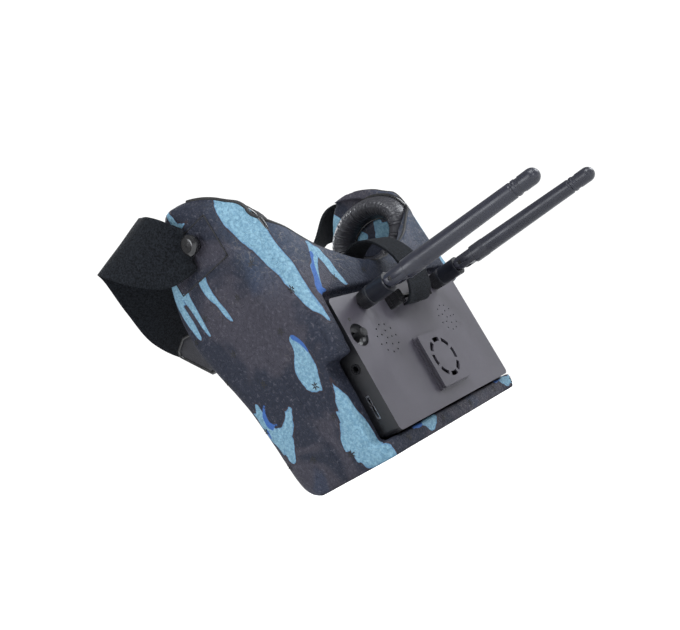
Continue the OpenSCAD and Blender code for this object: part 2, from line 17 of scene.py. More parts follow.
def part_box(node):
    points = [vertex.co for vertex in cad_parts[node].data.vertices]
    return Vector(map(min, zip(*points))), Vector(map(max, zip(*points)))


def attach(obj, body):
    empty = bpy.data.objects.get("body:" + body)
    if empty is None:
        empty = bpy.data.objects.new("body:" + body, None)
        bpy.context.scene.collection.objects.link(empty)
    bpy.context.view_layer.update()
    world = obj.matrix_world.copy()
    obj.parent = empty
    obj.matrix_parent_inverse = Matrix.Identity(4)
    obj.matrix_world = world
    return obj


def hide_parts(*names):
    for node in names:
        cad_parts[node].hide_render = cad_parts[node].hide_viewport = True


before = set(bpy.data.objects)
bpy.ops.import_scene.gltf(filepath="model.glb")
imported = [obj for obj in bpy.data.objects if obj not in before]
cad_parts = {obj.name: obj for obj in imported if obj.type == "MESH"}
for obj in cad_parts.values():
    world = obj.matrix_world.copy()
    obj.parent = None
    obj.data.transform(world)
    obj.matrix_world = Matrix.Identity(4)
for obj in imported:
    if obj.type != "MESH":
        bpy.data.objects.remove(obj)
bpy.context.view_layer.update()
MM = 0.001
BODY = "visor"
SIDES = {"left": -1, "right": 1}
random.seed(7)

# ---------------------------------------------------------------- sizes shared with the frame
FACE_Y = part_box("front_cover")[0][1] / MM
SHELL_HIGH = [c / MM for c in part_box("foam_shell")[1]]
FLARE = 0.07
BASE_HALF = SHELL_HIGH[0] - FLARE * SHELL_HIGH[2]
WALL = 11
BROW_Z = 110
RIM_RISE, RIM_SPAN = 26, 40
LEAN = math.atan(FLARE)
# Ear cushion: its middle on the wing, and half its length and height along the middle of the ring
CUSHION_Y, CUSHION_Z = 3, 143
RING_LONG, RING_TALL = 27.4, 20.6
# Distance from the module face to the end of an antenna's black sleeve
SLEEVE_END = 45
# Strap anchor plate: its middle on the wing, its width and its height
ANCHOR_Y, ANCHOR_Z = 12.5, 153.5
ANCHOR_W, ANCHOR_H = 45, 27


def half_width(z):
    """Half width of the visor at height z."""
    return BASE_HALF + FLARE * z


def rim_height(x):
    """Height of the brow rim: a hyperbola that rises towards the temples."""
    return BROW_Z + RIM_RISE * (math.sqrt(1 + (x / RIM_SPAN) ** 2) - 1)


# ---------------------------------------------------------------- camera, light and floor
def make_camera():
    """Camera at the photograph's viewing angle, low down on the left of the goggles."""
    data = bpy.data.cameras.new("camera")
    camera = bpy.data.objects.new("camera", data)
    bpy.context.scene.collection.objects.link(camera)
    right = Vector((0.5826, -0.6550, -0.4812))
    up = Vector((0.1455, -0.4985, 0.8546))
    back = right.cross(up).normalized()
    up = back.cross(right).normalized()
    turn = Matrix((right.normalized(), up, back)).transposed()
    place = Vector((-401.8, -276.8, -1.6))
    aim = place - back * 430
    # Lifted clear of the floor, and turned to look at the same point
    place.z = 7
    turn = back.rotation_difference((place - aim).normalized()).to_matrix() @ turn
    camera.matrix_world = Matrix.Translation(place * MM) @ turn.to_4x4()
    data.sensor_width = 36
    data.lens = 40.5
    data.clip_start = 0.01
    bpy.context.scene.camera = camera
    return camera


def make_area_light(name, place, target, size, power, colour=(1, 1, 1)):
    data = bpy.data.lights.new(name, "AREA")
    data.shape = "DISK"
    data.size = size
    data.energy = power
    data.color = colour
    light = bpy.data.objects.new(name, data)
    light.location = place
    light.rotation_euler = (Vector(target) - Vector(place)).to_track_quat("-Z", "Y").to_euler()
    bpy.context.scene.collection.objects.link(light)
    return light


def make_studio():
    """White surroundings, soft lights and a pale floor."""
    world = bpy.data.worlds.new("studio")
    world.use_nodes = True
    tree = world.node_tree
    seen = wire(tree, "ShaderNodeLightPath").outputs["Is Camera Ray"]
    backdrop = tree.nodes["Background"]
    backdrop.inputs["Color"].default_value = (1, 1, 1, 1)
    tree.links.new(ramp(tree, seen, 0.0, 1.0, 0.32, 1.1), backdrop.inputs["Strength"])
    bpy.context.scene.world = world
    bpy.context.scene.view_settings.view_transform = "Standard"
    middle = (0, 0, 0.09)
    cool = (0.93, 0.96, 1.0)
    make_area_light("key", (-0.45, -0.75, 1.1), middle, 0.6, 15, cool)
    make_area_light("far_side", (0.9, -1.0, 0.7), middle, 0.6, 13, cool)
    make_area_light("side", (-1.3, 0.25, 0.5), middle, 0.7, 8, cool)
    make_area_light("glance", (1.25, -0.65, 0.3), middle, 0.9, 0.9, cool)
    make_area_light("edge", (-0.62, -0.92, 0.2), middle, 0.16, 1.2, cool)
    make_area_light("back", (0.3, 1.0, 0.9), middle, 0.6, 8, cool)
    bpy.ops.mesh.primitive_circle_add(vertices=96, radius=6, fill_type="NGON")
    floor = bpy.context.object
    floor.name = "floor"
    white, tree, shader = new_material("floor_white", (0.9, 0.9, 0.9), 0.9,
                                       Emission_Color=(1, 1, 1, 1))
    seen = wire(tree, "ShaderNodeLightPath").outputs["Is Camera Ray"]
    tree.links.new(ramp(tree, seen, 0.0, 1.0, 0.0, 0.9), shader.inputs["Emission Strength"])
    floor.data.materials.append(white)


# ---------------------------------------------------------------- material helpers
def wire(tree, kind, settings=None, **inputs):
    """Adds a node. An input that is a socket is linked, and any other is set."""
    item = tree.nodes.new(kind)
    for key, value in (settings or {}).items():
        setattr(item, key, value)
    for key, value in inputs.items():
        name = key.replace("_", " ")
        socket = item.inputs[int(key[1:])] if key[1:].isdigit() else item.inputs[name]
        if isinstance(value, bpy.types.NodeSocket):
            tree.links.new(value, socket)
        else:
            socket.default_value = value
    return item


def new_material(name, colour, rough, **sockets):
    """A Principled material with constants set on the shader's own sockets."""
    material = bpy.data.materials.new(name)
    material.use_nodes = True
    tree = material.node_tree
    shader = tree.nodes["Principled BSDF"]
    shader.inputs["Base Color"].default_value = (*colour, 1)
    shader.inputs["Roughness"].default_value = rough
    for key, value in sockets.items():
        shader.inputs[key.replace("_", " ")].default_value = value
    return material, tree, shader


def math_node(tree, operation, a, b=0.0, clamp=False):
    return wire(tree, "ShaderNodeMath", {"operation": operation, "use_clamp": clamp},
                i0=a, i1=b).outputs[0]


def mix_colour(tree, factor, a, b):
    item = tree.nodes.new("ShaderNodeMix")
    item.data_type = "RGBA"
    for socket, value in ((item.inputs[0], factor), (item.inputs[6], a), (item.inputs[7], b)):
        if isinstance(value, bpy.types.NodeSocket):
            tree.links.new(value, socket)
        else:
            socket.default_value = value if isinstance(value, float) else (*value, 1)
    return item.outputs[2]


def ramp(tree, factor, low, high, a=0.0, b=1.0):
    """Rises smoothly from a to b as factor goes from low to high."""
    return wire(tree, "ShaderNodeMapRange", {"interpolation_type": "SMOOTHSTEP"}, Value=factor,
                From_Min=low, From_Max=high, To_Min=a, To_Max=b).outputs["Result"]


def place(tree, source="Object", scale=(1, 1, 1)):
    coordinates = wire(tree, "ShaderNodeTexCoord")
    return wire(tree, "ShaderNodeMapping", Vector=coordinates.outputs[source],
                Scale=scale).outputs["Vector"]


def noise_at(tree, vector, scale, detail=3.0, rough=0.5, distortion=0.0):
    return wire(tree, "ShaderNodeTexNoise", Vector=vector, Scale=scale, Detail=detail,
                Roughness=rough, Distortion=distortion).outputs["Fac"]


def bump(tree, height, distance, strength=1.0, normal=None):
    item = wire(tree, "ShaderNodeBump", Height=height, Distance=distance, Strength=strength)
    if normal:
        tree.links.new(normal, item.inputs["Normal"])
    return item.outputs["Normal"]


# ---------------------------------------------------------------- materials
def moulded_plastic(name, colour, rough, grain=2600.0, depth=0.00002, variation=0.25, coat=0.0):
    """Moulded plastic: a fine spark-eroded grain, cloudy tone and faint rubbed patches."""
    material, tree, shader = new_material(name, colour, rough, Coat_Weight=coat)
    vector = place(tree)
    cloud = noise_at(tree, vector, 35.0, 4.0)
    dark = tuple(c * (1 - variation) for c in colour)
    light = tuple(c * (1 + variation) for c in colour)
    tree.links.new(mix_colour(tree, ramp(tree, cloud, 0.35, 0.65), dark, light),
                   shader.inputs["Base Color"])
    rubbed = noise_at(tree, vector, 90.0, 5.0, 0.6)
    tree.links.new(ramp(tree, rubbed, 0.3, 0.7, rough - 0.06, rough + 0.07),
                   shader.inputs["Roughness"])
    grain_height = noise_at(tree, vector, grain, 2.0)
    tree.links.new(bump(tree, grain_height, depth), shader.inputs["Normal"])
    return material


def brushed_metal(name, colour, rough):
    material, tree, shader = new_material(name, colour, rough, Metallic=1.0)
    vector = place(tree, scale=(1, 12, 1))
    streaks = noise_at(tree, vector, 900.0, 3.0)
    tree.links.new(ramp(tree, streaks, 0.3, 0.7, rough - 0.08, rough + 0.1),
                   shader.inputs["Roughness"])
    tree.links.new(bump(tree, streaks, 0.00001), shader.inputs["Normal"])
    return material


def black_leather():
    """Soft artificial leather: pebbled grain, fine creases and a dull sheen on the crests."""
    material, tree, shader = new_material("black_leather", (0.011, 0.011, 0.013), 0.38)
    vector = place(tree)
    warped = wire(tree, "ShaderNodeVectorMath", {"operation": "ADD"}, i0=vector,
                  i1=wire(tree, "ShaderNodeVectorMath", {"operation": "SCALE"},
                          i0=wire(tree, "ShaderNodeTexNoise", Vector=vector,
                                  Scale=400.0).outputs["Color"], Scale=0.0012).outputs[0]).outputs[0]
    pebbles = wire(tree, "ShaderNodeTexVoronoi", {"feature": "DISTANCE_TO_EDGE"}, Vector=warped,
                   Scale=1100.0).outputs["Distance"]
    grain = ramp(tree, pebbles, 0.0, 0.12)
    cloud = noise_at(tree, vector, 60.0, 5.0, 0.6)
    tree.links.new(mix_colour(tree, ramp(tree, cloud, 0.3, 0.7), (0.014, 0.014, 0.018),
                              (0.028, 0.028, 0.035)), shader.inputs["Base Color"])
    tree.links.new(ramp(tree, cloud, 0.3, 0.7, 0.38, 0.28), shader.inputs["Roughness"])
    tree.links.new(bump(tree, grain, 0.00005), shader.inputs["Normal"])
    return material


def elastic_webbing(name, rib=0.0007):
    """Knitted elastic: ribs across the band, crossing yarns and a fuzzy sheen."""
    material, tree, shader = new_material(name, (0.006, 0.006, 0.007), 0.85, Sheen_Weight=0.02,
                                          Sheen_Roughness=0.6, Specular_IOR_Level=0.1)
    flat = place(tree, "UV")
    along = wire(tree, "ShaderNodeTexWave", {"bands_direction": "Y"}, Vector=flat,
                 Scale=math.pi / (10 * rib), Distortion=0.6, Detail=2.0,
                 Detail_Scale=3.0).outputs["Fac"]
    across = wire(tree, "ShaderNodeTexWave", {"bands_direction": "X"}, Vector=flat,
                  Scale=math.pi / (12 * rib), Distortion=0.4).outputs["Fac"]
    yarn = math_node(tree, "MULTIPLY", along, math_node(tree, "ADD", across, 0.35))
    fuzz = noise_at(tree, place(tree), 900.0, 5.0, 0.75)
    strands = ramp(tree, fuzz, 0.36, 0.66)
    tree.links.new(mix_colour(tree, math_node(tree, "MULTIPLY", strands,
                                              math_node(tree, "ADD", yarn, 0.5), True),
                              (0.0015, 0.002, 0.003), (0.015, 0.018, 0.023)),
                   shader.inputs["Base Color"])
    height = math_node(tree, "ADD", math_node(tree, "MULTIPLY", yarn, 0.4), strands)
    tree.links.new(bump(tree, height, 0.00015), shader.inputs["Normal"])
    return material


def camo_print(tree, vector, ground, speck):
    """Pale blue patches with a darker blue rim, from the distances kept on the mesh."""
    torn = noise_at(tree, wire(tree, "ShaderNodeMapping", Vector=vector,
                               Scale=(1, 1, 0.25)).outputs[0], 130.0, 2.0, 0.5, 0.2)
    torn = math_node(tree, "MULTIPLY", math_node(tree, "SUBTRACT", torn, 0.5), 0.006)
    pale, deep = (math_node(tree, "ADD", torn, wire(
        tree, "ShaderNodeAttribute", {"attribute_name": name}).outputs["Fac"])
        for name in ("patch", "deep"))
    dusty = mix_colour(tree, ramp(tree, speck, 0.38, 0.66), (0.11, 0.22, 0.30),
                       (0.21, 0.36, 0.45))
    edge = ramp(tree, pale, -0.0008, -0.0001, 0.0, 0.45)
    blue = mix_colour(tree, edge, dusty, (0.03, 0.10, 0.26))
    outline = ramp(tree, pale, 0.0012, 0.0004, 0.0, 0.6)
    ground = mix_colour(tree, outline, ground, (0.030, 0.016, 0.014))
    colour = mix_colour(tree, ramp(tree, pale, 0.00015, -0.00015), ground, blue)
    return mix_colour(tree, ramp(tree, deep, 0.0002, -0.0002), colour, (0.035, 0.10, 0.30))


def camo_foam(name="camo_foam", printed=True):
    """Moulded foam: charcoal ground with brown and navy clouds, beads, printed blue patches and a painted
    bluish highlight on the shoulders.
    """
    material, tree, shader = new_material(name, (0.035, 0.034, 0.04), 0.6,
                                          Specular_IOR_Level=0.3, Specular_Tint=(0.8, 0.87, 1, 1))
    vector = place(tree)
    cloud = noise_at(tree, vector, 14.0, 4.0, 0.55, 0.6)
    navy = noise_at(tree, wire(tree, "ShaderNodeMapping", Vector=vector,
                               Location=(0.4, 0.1, 0.7)).outputs[0], 11.0, 3.0, 0.5, 0.8)
    axes = wire(tree, "ShaderNodeSeparateXYZ", Vector=vector).outputs
    # Painted highlight: a mask over the front of the upper shoulders, where the light falls
    shoulder_highlight = math_node(tree, "MULTIPLY", ramp(tree, axes["Y"], -0.006, -0.026),
                         ramp(tree, axes["Z"], 0.095, 0.13))
    ground = mix_colour(tree, ramp(tree, cloud, 0.47, 0.53), (0.012, 0.014, 0.024),
                        (0.034, 0.031, 0.041))
    ground = mix_colour(tree, ramp(tree, navy, 0.52, 0.58, 0.0, 0.8), ground,
                        (0.022, 0.029, 0.052))
    # The painted shoulder highlight: a lighter bluish tone mixed in over that mask
    ground = mix_colour(tree, math_node(tree, "MULTIPLY", shoulder_highlight, 0.5), ground,
                        (0.040, 0.058, 0.092))
    speck = noise_at(tree, vector, 520.0, 4.0, 0.8)
    ground = mix_colour(tree, ramp(tree, speck, 0.53, 0.70, 0.0, 0.55), ground,
                        (0.11, 0.105, 0.125))
    ground = mix_colour(tree, ramp(tree, speck, 0.47, 0.30, 0.0, 0.7), ground,
                        (0.008, 0.008, 0.010))
    beads = wire(tree, "ShaderNodeTexVoronoi", {"feature": "DISTANCE_TO_EDGE"}, Vector=vector,
                 Scale=300.0).outputs["Distance"]
    # Light bead borders: at random where the foam is worn, and more on the shoulders as part of the
    # painted highlight
    bead_wear_and_highlight = math_node(tree, "ADD", ramp(tree, noise_at(tree, vector, 16.0, 2.0), 0.5, 0.64, 0.0, 0.4),
                     math_node(tree, "MULTIPLY", shoulder_highlight, 0.45))
    broken = ramp(tree, noise_at(tree, vector, 260.0, 3.0), 0.42, 0.6)
    cells = math_node(tree, "MULTIPLY", ramp(tree, beads, 0.08, 0.0),
                      math_node(tree, "MULTIPLY", bead_wear_and_highlight, broken))
    ground = mix_colour(tree, cells, ground, (0.20, 0.18, 0.16))
    colour = ground
    if printed:
        colour = camo_print(tree, vector, ground, speck)
    tree.links.new(colour, shader.inputs["Base Color"])
    bead_height = ramp(tree, beads, 0.0, 0.12)
    fine = noise_at(tree, vector, 1500.0, 3.0, 0.6)
    height = math_node(tree, "ADD", math_node(tree, "MULTIPLY", bead_height, 0.5),
                       math_node(tree, "MULTIPLY", fine, 0.5))
    tree.links.new(bump(tree, height, 0.0004), shader.inputs["Normal"])
    tree.links.new(ramp(tree, cloud, 0.3, 0.7, 0.66, 0.5), shader.inputs["Roughness"])
    return material


# ---------------------------------------------------------------- mesh helpers
def add_object(name, vertices, faces, material, body=BODY, smooth=True):
    mesh = bpy.data.meshes.new(name)
    mesh.from_pydata([Vector(v) * MM for v in vertices], [], faces)
    mesh.validate()
    mesh.materials.append(material)
    mesh.polygons.foreach_set("use_smooth", [smooth] * len(mesh.polygons))
    item = bpy.data.objects.new(name, mesh)
    bpy.context.scene.collection.objects.link(item)
    if body:
        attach(item, body)
    return item


def copy_node(node, name, material):
    """A free copy of a CAD node's mesh, as a new piece."""
    item = bpy.data.objects.new(name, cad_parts[node].data.copy())
    bpy.context.scene.collection.objects.link(item)
    item.data.materials.clear()
    item.data.materials.append(material)
    return item


def apply_modifiers(item):
    graph = bpy.context.evaluated_depsgraph_get()
    mesh = bpy.data.meshes.new_from_object(item.evaluated_get(graph))
    item.modifiers.clear()
    item.data = mesh


def face_outwards(item, merge=False):
    """Turns a closed mesh's faces outwards, after joining points that coincide if asked."""
    bm = bmesh.new()
    bm.from_mesh(item.data)
    if merge:
        bmesh.ops.remove_doubles(bm, verts=bm.verts, dist=0.00001)
    bmesh.ops.recalc_face_normals(bm, faces=bm.faces)
    bm.to_mesh(item.data)
    bm.free()


def smooth_shade(item):
    item.data.polygons.foreach_set("use_smooth", [True] * len(item.data.polygons))


def catmull(points, steps):
    """Points of a smooth curve through the given ones. Works on lists of any length."""
    out = []
    last = len(points) - 1
    for i in range(last):
        a, b, c, d = (points[min(max(k, 0), last)] for k in (i - 1, i, i + 1, i + 2))
        for s in range(steps):
            t = s / steps
            out.append([0.5 * (2 * q + (r - p) * t + (2 * p - 5 * q + 4 * r - u) * t * t
                               + (3 * q - p - 3 * r + u) * t ** 3)
                        for p, q, r, u in zip(a, b, c, d)])
    out.append(list(points[-1]))
    return out


def grid_faces(rows, columns, close_rows=False, close_columns=False):
    """Quads over a grid of rows by columns of vertices."""
    faces = []
    for i in range(rows if close_rows else rows - 1):
        for k in range(columns if close_columns else columns - 1):
            a, b = i * columns, (i + 1) % rows * columns
            n = (k + 1) % columns
            faces.append((a + k, a + n, b + n, b + k))
    return faces


make_camera()
make_studio()

# ---------------------------------------------------------------- foam visor
SIDE_POINTS = [[-34, 0], [-35, 8], [-37, 50], [-38.6, 92], [-37.5, 125], [-33, 153], [-24, 169],
               [-10, 180], [6, 186.5], [18, 186.5], [29, 179], [38.5, 166], [47.5, 151],
               [53.5, 136], [55.5, 121], [55, 106], [51.5, 92], [46.5, 75], [43, 60],
               [41.5, 42], [40, 20], [38, 9], [34.5, 3], [28, 0]]
SIDE_CURVE = catmull(SIDE_POINTS, 8)
TOP_INDEX = max(range(len(SIDE_CURVE)), key=lambda i: SIDE_CURVE[i][1])
FRONT_RUN = SIDE_CURVE[:TOP_INDEX + 1]
BACK_RUN = SIDE_CURVE[TOP_INDEX:][::-1]


def outline_y(z, back):
    """Depth of the visor's side outline at heights z, on its module side or its back."""
    run = BACK_RUN if back else FRONT_RUN
    return np.interp(z, [p[1] for p in run], [p[0] for p in run])


def ease(x, low, high):
    t = np.clip((x - low) / (high - low), 0, 1)
    return t * t * (3 - 2 * t)


def round_corner(across, depth, radius):
    """Bends a square corner, given by how far points are into it, to a round one."""
    inside = (across > 0) & (depth > 0)
    a, b = across / radius, depth / radius
    scale = np.where(inside, np.maximum(a, b) / np.maximum(np.hypot(a, b), 1e-9), 1)
    return across * scale, depth * scale


def soften_shell(points):
    """The shell's long corners rounded as the moulded foam has them, broad at the shoulders."""
    x, y, z = points.T
    side, wide = np.sign(x), half_width(z)
    radius = 6 + 16 * ease(z, 60, 120)
    front = outline_y(z, False)
    across, depth = round_corner(abs(x) - wide + radius, front + radius - y, radius)
    x, y = side * (wide - radius + across), front + radius - depth
    radius = 13.0
    back = outline_y(z, True)
    across, depth = round_corner(abs(x) - wide + radius, y - back + radius, radius)
    return np.stack([side * (wide - radius + across), back - radius + depth, z], 1)


def raise_temples(points):
    """Fills the dip of the rim between the brow and each wing to one smooth slope."""
    x, y, z = points.T
    corner = ease(abs(x), 45, 78) * ease(z, 116, 136) * (1 - ease(z, 152, 172))
    return np.stack([x, y, z + 6 * corner * (1 - ease(y, -24, -8))], 1)


# Camouflage as chains of blots, each with a radius last. The side's are [y, z, radius] and the
# front's [x, z, radius].
SIDE_PALE = [
    [[3, 171, 0.8], [9, 172, 1.8], [14, 172.5, 3], [17.5, 176, 0.6]],
    [[13, 173, 2.6], [13, 178, 1.6], [14, 184, 0.5]],
    [[-3, 163.5, 0.5], [0, 161, 1], [1.5, 158, 0.5]],
    [[9, 153, 3], [14, 148, 3.6], [16.5, 132, 2.8], [14.5, 122, 1.4], [12.5, 110, 0.3]],
    [[32, 153, 4], [42, 153, 4]],
    [[33, 150, 3.8], [34, 135, 2.8], [34, 122, 2], [33, 112, 0.8]],
    [[42, 150, 3.8], [42.5, 135, 2.8], [41.5, 123, 2.2], [40.5, 114, 0.8]],
    [[37, 150, 4], [39, 137, 1.5]],
    [[-18, 81, 1.2], [-19, 73, 4], [-16, 63, 7.5], [-15, 55, 5.5], [-17, 50, 2]],
    [[-13, 61, 4], [-9.5, 54, 0.8]],
    [[9, 50, 1], [14, 46, 2.8], [20, 41, 5], [27, 40, 6], [32, 45, 5], [32, 54, 4], [29, 62, 0.8]],
    [[22, 36, 4.5], [27, 26.5, 2.5]], [[30, 40, 3], [31, 31, 0.8]], [[14, 46, 2], [13, 51, 0.5]],
    [[32, 54, 3], [35.5, 59, 1]],
    [[-28, 53, 0.8], [-27, 46, 2.5], [-26, 38, 5], [-25, 28, 6.5], [-22, 18, 9], [-24, 9, 7.5],
     [-28, 1, 8]],
    [[-21, 28, 4], [-18, 36, 0.5]], [[-19, 22, 5], [-16.5, 29, 0.5]],
    [[-16, 20, 4], [-9.5, 15, 0.6]], [[-19, 14, 5], [-14, 7.5, 0.6]], [[-21, 8, 5], [-18, 1, 0.6]],
]
SIDE_DEEP = [
    [[-19.5, 82, 0.9], [-22, 77, 1.3], [-23, 70, 0.6]],
    [[24, 60, 0.9], [28, 55, 1.1], [29, 49, 1.6], [23, 47, 1]],
    [[34, 47, 1.2], [35, 43, 1]],
]
FRONT_PALE = [
    [[-78, 172, 9], [-86, 164, 10], [-91, 155, 9.5], [-92, 146, 8.5], [-91, 132, 6.2], [-86.5, 118, 5],
     [-84.5, 105, 4.4], [-81.5, 93, 3.6], [-77, 80, 1.5]],
    [[-57, 129, 0.8], [-58, 122, 2.2], [-66, 109, 2.4], [-70, 99, 1.2]],
    [[-57, 127, 2.2], [-52, 115, 3.2], [-50, 106, 3], [-45, 97, 1]],
    [[-43, 8, 1.5], [-36, 6, 4], [-30, 8, 2.5]], [[62, 8, 1.5], [69, 6, 3.5], [78, 5, 3]],
    [[-100, 4, 6], [-84, 5, 4]],
    [[88, 165, 1], [86, 150, 2], [84, 135, 1.2], [83, 122, 0.5]],
    [[80, 143, 0.6], [78, 130, 1.8], [80, 116, 1.2], [77, 102, 0.5]],
    [[74, 99, 3], [79, 92, 4], [84, 80, 1.5]],
]
FRONT_DEEP = [
    [[-61, 120, 1.2], [-68, 106, 1.6], [-71, 97, 2.2], [-66, 96, 1]],
    [[-52, 9, 0.8], [-44, 8, 1]], [[56, 9, 0.8], [63, 8.5, 0.8]],
]
INSIDE_PALE = [
    [[77, -8, 126, 3], [77, 4, 122, 4], [77, 18, 119, 3], [78, 30, 121, 1]],
    [[79, 10, 150, 3], [80, 20, 156, 4], [80, 24, 166, 1]],
    [[-77, -12, 120, 3], [-78, 6, 128, 4], [-79, 22, 144, 2]],
    [[-60, 30, 0, 5], [-25, 10, 0, 8], [10, -14, 0, 5], [36, -10, 0, 2]],
    [[40, 26, 0, 6], [66, 12, 0, 7], [80, -10, 0, 3]],
    [[-30, 37, 22, 5], [-14, 41, 34, 7], [2, 43, 42, 2]], [[30, 48, 55, 6], [52, 50, 62, 7]],
]


def on_shell(side_chains, front_chains):
    """Chains of blots in space, laid on both sides and the front of the rounded shell."""
    chains = []
    for chain in side_chains:
        chains.append([[-half_width(z), y, z, r] for y, z, r in chain])
        chains.append([[half_width(z), 14 - y * 0.8, max(184 - z, 0), r * 1.15]
                       for y, z, r in chain])
    for chain in front_chains:
        chains.append([[x, float(outline_y(z, False)), z, r] for x, z, r in chain])
    laid = []
    for chain in chains:
        fine = np.array(catmull(chain, 4))
        fine[:, :3] = soften_shell(fine[:, :3])
        laid.append(fine)
    return laid


def blot_distance(points, chains):
    """Signed distance from points to the nearest of the chains of blots, negative inside."""
    best = np.full(len(points), 50.0)
    for chain in chains:
        for a, b in zip(chain, chain[1:]):
            run = b[:3] - a[:3]
            t = np.clip((points - a[:3]) @ run / max(run @ run, 1e-6), 0, 1)
            gap = np.linalg.norm(points - a[:3] - t[:, None] * run, axis=1)
            best = np.minimum(best, gap - (a[3] + (b[3] - a[3]) * t))
    return best


def make_shell(material):
    """The foam visor: the frame's shell with moulded edges, soft waves and printed patches."""
    item = copy_node("foam_shell", "camo_visor", material)
    remesh = item.modifiers.new("remesh", "REMESH")
    remesh.mode = "VOXEL"
    remesh.voxel_size = 1.4 * MM
    smooth = item.modifiers.new("smooth", "SMOOTH")
    smooth.factor = 0.5
    smooth.iterations = 7
    apply_modifiers(item)
    mesh = item.data
    count = len(mesh.vertices)
    flat = np.empty(count * 3)
    mesh.vertices.foreach_get("co", flat)
    points = soften_shell(flat.reshape(-1, 3) / MM)
    normals = np.empty(count * 3)
    mesh.vertices.foreach_get("normal", normals)
    wave = [noise.noise(Vector(p) / 26) * 0.5 + noise.noise(Vector(p) / 9) * 0.12 for p in points]
    points += normals.reshape(-1, 3) * np.array(wave)[:, None]
    points = raise_temples(points)
    x, y, z = points.T
    # The pocket round each strap anchor is filled, so that the plate lies flush
    margin = 2
    near_plate = (abs(y - ANCHOR_Y) < ANCHOR_W / 2 + margin) & (abs(z - ANCHOR_Z) < ANCHOR_H / 2 + margin)
    inset = near_plate & (abs(x) > half_width(z) - 3.2)
    points[:, 0] = np.where(inset, np.sign(x) * (half_width(z) - 0.15), x)
    points[:, 2] = np.maximum(points[:, 2], 0.1)
    mesh.vertices.foreach_set("co", (points * MM).ravel())
    pale = on_shell(SIDE_PALE, FRONT_PALE) + [np.array(catmull(c, 3)) for c in INSIDE_PALE]
    for name, chains in (("patch", pale), ("deep", on_shell(SIDE_DEEP, FRONT_DEEP))):
        values = blot_distance(points, chains) * MM
        mesh.attributes.new(name, "FLOAT", "POINT").data.foreach_set("value", values)
    mesh.update()
    smooth_shade(item)
    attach(item, BODY)
    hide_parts("foam_shell")
    return item


# ---------------------------------------------------------------- places on the wings
def wing_place(side, y, z, depth):
    """Frame on a side wall: first axis +Y, second up the wall, third out of it."""
    out = Vector((math.cos(LEAN), 0, -math.sin(LEAN)))
    rise = Vector((math.sin(LEAN), 0, math.cos(LEAN)))
    origin = Vector((half_width(z), y, z)) - out * depth
    flip = Vector((side, 1, 1))
    return [Vector(a * b for a, b in zip(v, flip)) for v in (origin, Vector((0, 1, 0)), rise, out)]


def on_place(spot, a, b, c):
    return spot[0] + spot[1] * a + spot[2] * b + spot[3] * c


def ridge_noise(value, seed):
    return noise.noise(Vector((value, seed, seed * 0.37)))


def ring_point(u):
    """Point at angle u on the middle line of the ear cushion, and the normal there."""
    centre = Vector((RING_LONG * math.cos(u), RING_TALL * math.sin(u)))
    return centre, Vector((math.cos(u) / RING_LONG, math.sin(u) / RING_TALL)).normalized()


def make_ear_cushion(name, side, leather, gloss):
    """Oval leather ring: a stuffed tube, gathered into fine creases across it."""
    spot = wing_place(side, CUSHION_Y, CUSHION_Z, WALL + 0.3)
    around, about = 560, 32
    vertices = []
    for i in range(around):
        u = 2 * math.pi * i / around
        centre, normal = ring_point(u)
        turn = i / around * 100
        crease = (abs(math.sin(turn * 1.9 + 2.2 * ridge_noise(turn * 0.55, side * 3.1))) ** 0.6 * 0.75
                  + abs(ridge_noise(turn * 0.9, side * 7.7)) * 1.2)
        for k in range(about):
            v = 2 * math.pi * k / about
            side_way = math.cos(v)
            height = math.sin(v)
            shape = abs(height) ** 0.85 * (1 if height > 0 else -1)
            inner = 0.5 - 0.5 * side_way
            pull = crease * (0.25 + 0.75 * inner) * max(shape, 0) ** 0.4
            plump = noise.noise(Vector((math.cos(u) * 2, math.sin(u) * 2, side * 5))) * 0.5
            across = side_way * 8.1 * (1 - 0.10 * max(shape, 0)) - pull * 0.6 * side_way
            lift = 2.2 + max(shape, 0) * (14.6 - pull + plump) + min(shape, 0) * 1.2
            flat = centre + normal * across
            vertices.append(on_place(spot, flat.x, flat.y, -lift))
    faces = grid_faces(around, about, True, True)
    ring = add_object(name, vertices, faces if side > 0 else [f[::-1] for f in faces], leather)
    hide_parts(name)
    for offset, height, radius, tag in ((8.7, 1.5, 1.4, "outer"), (-7.9, 1.2, 1.1, "inner")):
        line = []
        for i in range(180):
            u = 2 * math.pi * i / 180
            centre, normal = ring_point(u)
            flat = centre + normal * offset
            line.append(on_place(spot, flat.x, flat.y, -height))
        piping = tube(f"{name}_{tag}_piping", line, radius, gloss, closed=True)
        if tag == "outer":
            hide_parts(name.replace("ear_cushion", "cushion_base"))


def tube(name, line, radius, material, closed=False, sides=12, body=BODY, taper=None):
    """A round tube along a line of points."""
    count = len(line)
    line = [Vector(p) for p in line]
    vertices = []
    normal = None
    for i, point in enumerate(line):
        ahead = line[(i + 1) % count] if closed else line[min(i + 1, count - 1)]
        behind = line[i - 1] if closed or i else line[0]
        along = (ahead - behind).normalized()
        if normal is None:
            normal = along.orthogonal()
        normal = (normal - along * normal.dot(along)).normalized()
        other = along.cross(normal)
        r = radius * (taper(i / (count - 1)) if taper else 1)
        for k in range(sides):
            a = 2 * math.pi * k / sides
            vertices.append(point + normal * math.cos(a) * r + other * math.sin(a) * r)
    faces = grid_faces(count, sides, closed, True)
    if not closed:
        faces.append(tuple(range(sides))[::-1])
        faces.append(tuple(range((count - 1) * sides, count * sides)))
    item = add_object(name, vertices, faces, material, body)
    face_outwards(item)
    return item


def surface_of(item):
    """A search tree over a piece's surface, in millimetres."""
    mesh = item.data
    return BVHTree.FromPolygons([v.co / MM for v in mesh.vertices],
                                [tuple(p.vertices) for p in mesh.polygons])


